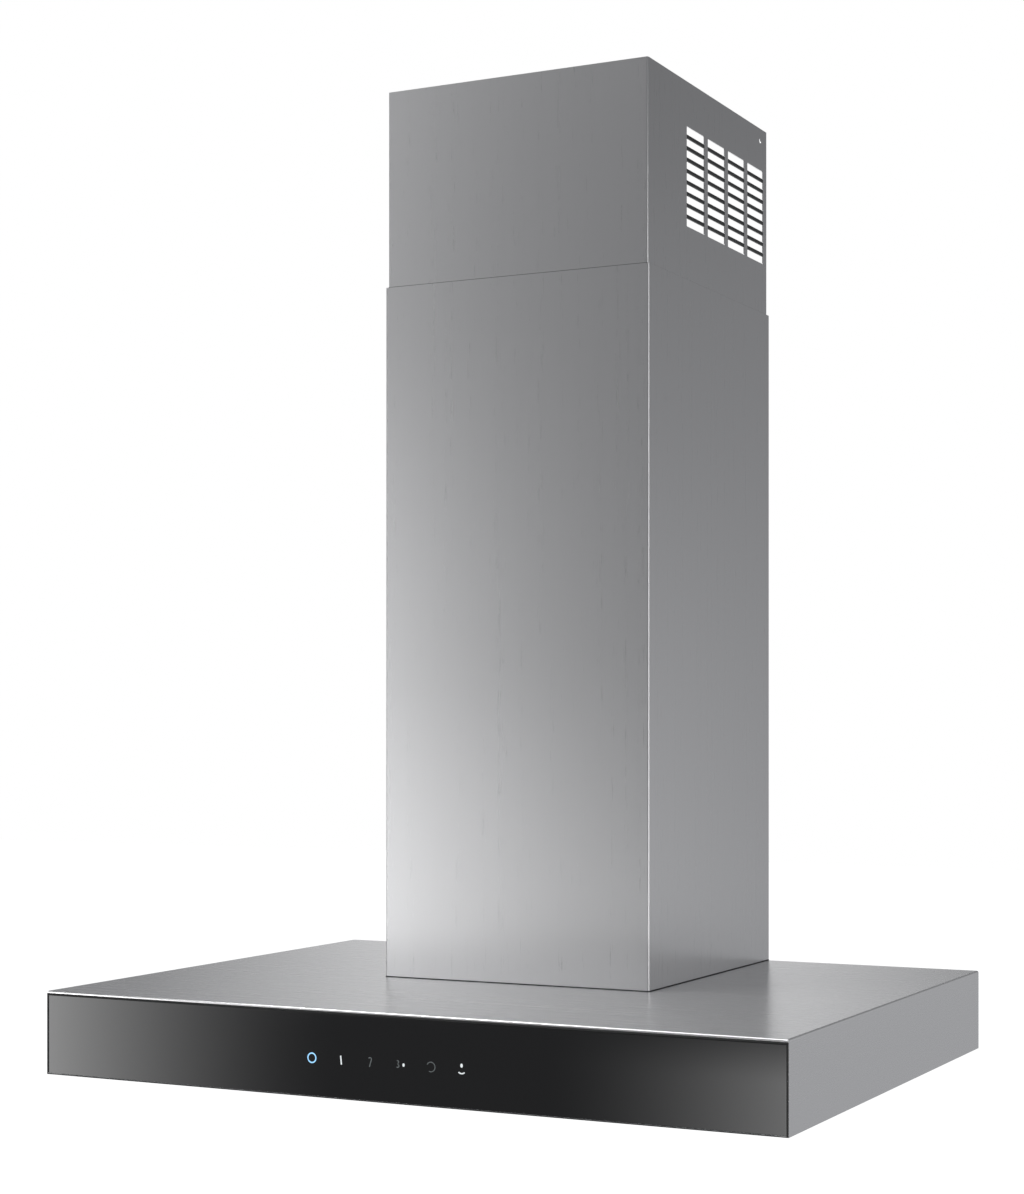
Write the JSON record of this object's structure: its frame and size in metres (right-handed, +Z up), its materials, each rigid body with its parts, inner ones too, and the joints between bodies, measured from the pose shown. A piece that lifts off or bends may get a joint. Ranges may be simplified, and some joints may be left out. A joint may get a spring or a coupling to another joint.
{
  "type": "range hood",
  "caption": "Wall-mounted range hood: flat brushed-steel canopy with a black glass control front, drop-down baffle filters and a two-part telescopic chimney around a centrifugal blower.",
  "frame": {"origin": "on the wall plane, on the centre line, at the canopy's lower edge", "axes": "+Z up along the chimney, +Y into the wall, -Y towards the cook, +X to the right of someone who faces the hood"},
  "size_m": [0.75, 0.5401, 0.961],
  "materials": {
    "stainless": "brushed vertical grain",
    "canopy_steel": "fine brushed, fairly glossy",
    "black_glass": "polished, printed black behind",
    "icon_print": "printed, lit from behind",
    "galvanised": "galvanised sheet",
    "filter_steel": "satin",
    "aluminium": "satin",
    "lamp_ring": "satin chrome",
    "lamp_lens": "frosted",
    "grey_plastic": "moulded",
    "black_plastic": "moulded",
    "white_plastic": "moulded, translucent",
    "circuit_board": "green solder mask",
    "tape": "foam tape",
    "film": "clear amber film",
    "motor_steel": "zinc plated",
    "lamination": "stacked steel sheets",
    "rubber": "moulded",
    "cable": "smooth sheath",
    "screw_steel": "zinc plated",
    "spring_steel": "drawn wire"
  },
  "bodies": {
    "hood_body": {"blower_box": "galvanised", "blower_lid": "galvanised", "blower_screws": "screw_steel", "bottom_panel": "canopy_steel", "cable_gland": "black_plastic", "canopy_shell": "canopy_steel", "capacitor_clip": "galvanised", "control_box": "grey_plastic", "control_box_cover": "grey_plastic", "cover_locating_frame": "galvanised", "damper_spindles": "motor_steel", "front_glass": "black_glass", "glass_carrier": "galvanised", "glass_tape": "tape", "icon_light_guide": "white_plastic", "inlet_rings": "grey_plastic", "junction_box": "grey_plastic", "junction_cover": "grey_plastic", "key_icons": "icon_print", "lamp_bezel_left": "lamp_ring", "lamp_bezel_right": "lamp_ring", "lamp_boards": "circuit_board", "lamp_housing_left": "aluminium", "lamp_housing_right": "aluminium", "lamp_leads": "cable", "lamp_lenses": "lamp_lens", "lower_chimney_cover": "stainless", "motor_bearings": "motor_steel", "motor_bracket": "galvanised", "motor_case": "motor_steel", "motor_end_cap": "motor_steel", "motor_grommets": "rubber", "motor_lead": "cable", "motor_screws": "screw_steel", "outlet_collar": "black_plastic", "panel_brackets": "galvanised", "panel_screws": "screw_steel", "power_board": "circuit_board", "run_capacitor": "aluminium", "scroll_housing_left": "black_plastic", "scroll_housing_right": "black_plastic", "stator_core": "lamination", "terminal_block": "white_plastic", "touch_board": "circuit_board", "touch_film": "film", "touch_ribbon": "cable"},
    "upper_cover": {"upper_chimney_cover": "stainless"},
    "blower_rotor": {"impeller": "galvanised", "motor_shaft": "motor_steel", "rotor_core": "lamination"},
    "front_flap": {"damper_flap_front": "grey_plastic"},
    "rear_flap": {"damper_flap_rear": "grey_plastic"},
    "left_filter": {"filter_frame_left": "filter_steel", "filter_baffles_left": "filter_steel", "latch_spring_left": "spring_steel"},
    "left_latch": {"filter_latch_left": "black_plastic"},
    "right_filter": {"filter_frame_right": "filter_steel", "filter_baffles_right": "filter_steel", "latch_spring_right": "spring_steel"},
    "right_latch": {"filter_latch_right": "black_plastic"}
  },
  "joints": [
    {"name": "upper_cover_slide", "type": "slide", "parent": "hood_body", "child": "upper_cover", "axis": [0, 0, 1], "range_m": [-0.195, 0.205]},
    {"name": "impeller_spin", "type": "hinge", "parent": "hood_body", "child": "blower_rotor", "pos_m": [0, -0.185, 0.222], "axis": [1, 0, 0], "continuous": true},
    {"name": "front_flap_hinge", "type": "hinge", "parent": "hood_body", "child": "front_flap", "pos_m": [0, -0.145, 0.412], "axis": [-1, 0, 0], "range_deg": [0, 75]},
    {"name": "rear_flap_hinge", "type": "hinge", "parent": "hood_body", "child": "rear_flap", "pos_m": [0, -0.135, 0.412], "axis": [1, 0, 0], "range_deg": [0, 75]},
    {"name": "left_filter_hinge", "type": "hinge", "parent": "hood_body", "child": "left_filter", "pos_m": [-0.176, -0.0465, 0.0105], "axis": [1, 0, 0], "range_deg": [0, 75]},
    {"name": "left_latch_slide", "type": "slide", "parent": "left_filter", "child": "left_latch", "axis": [0, 1, 0], "range_m": [0, 0.006], "stiffness_N_per_m": 500, "springref_m": -0.004, "deforming": ["latch_spring_left"]},
    {"name": "right_filter_hinge", "type": "hinge", "parent": "hood_body", "child": "right_filter", "pos_m": [0.176, -0.0465, 0.0105], "axis": [1, 0, 0], "range_deg": [0, 75]},
    {"name": "right_latch_slide", "type": "slide", "parent": "right_filter", "child": "right_latch", "axis": [0, 1, 0], "range_m": [0, 0.006], "stiffness_N_per_m": 500, "springref_m": -0.004, "deforming": ["latch_spring_right"]}
  ]
}
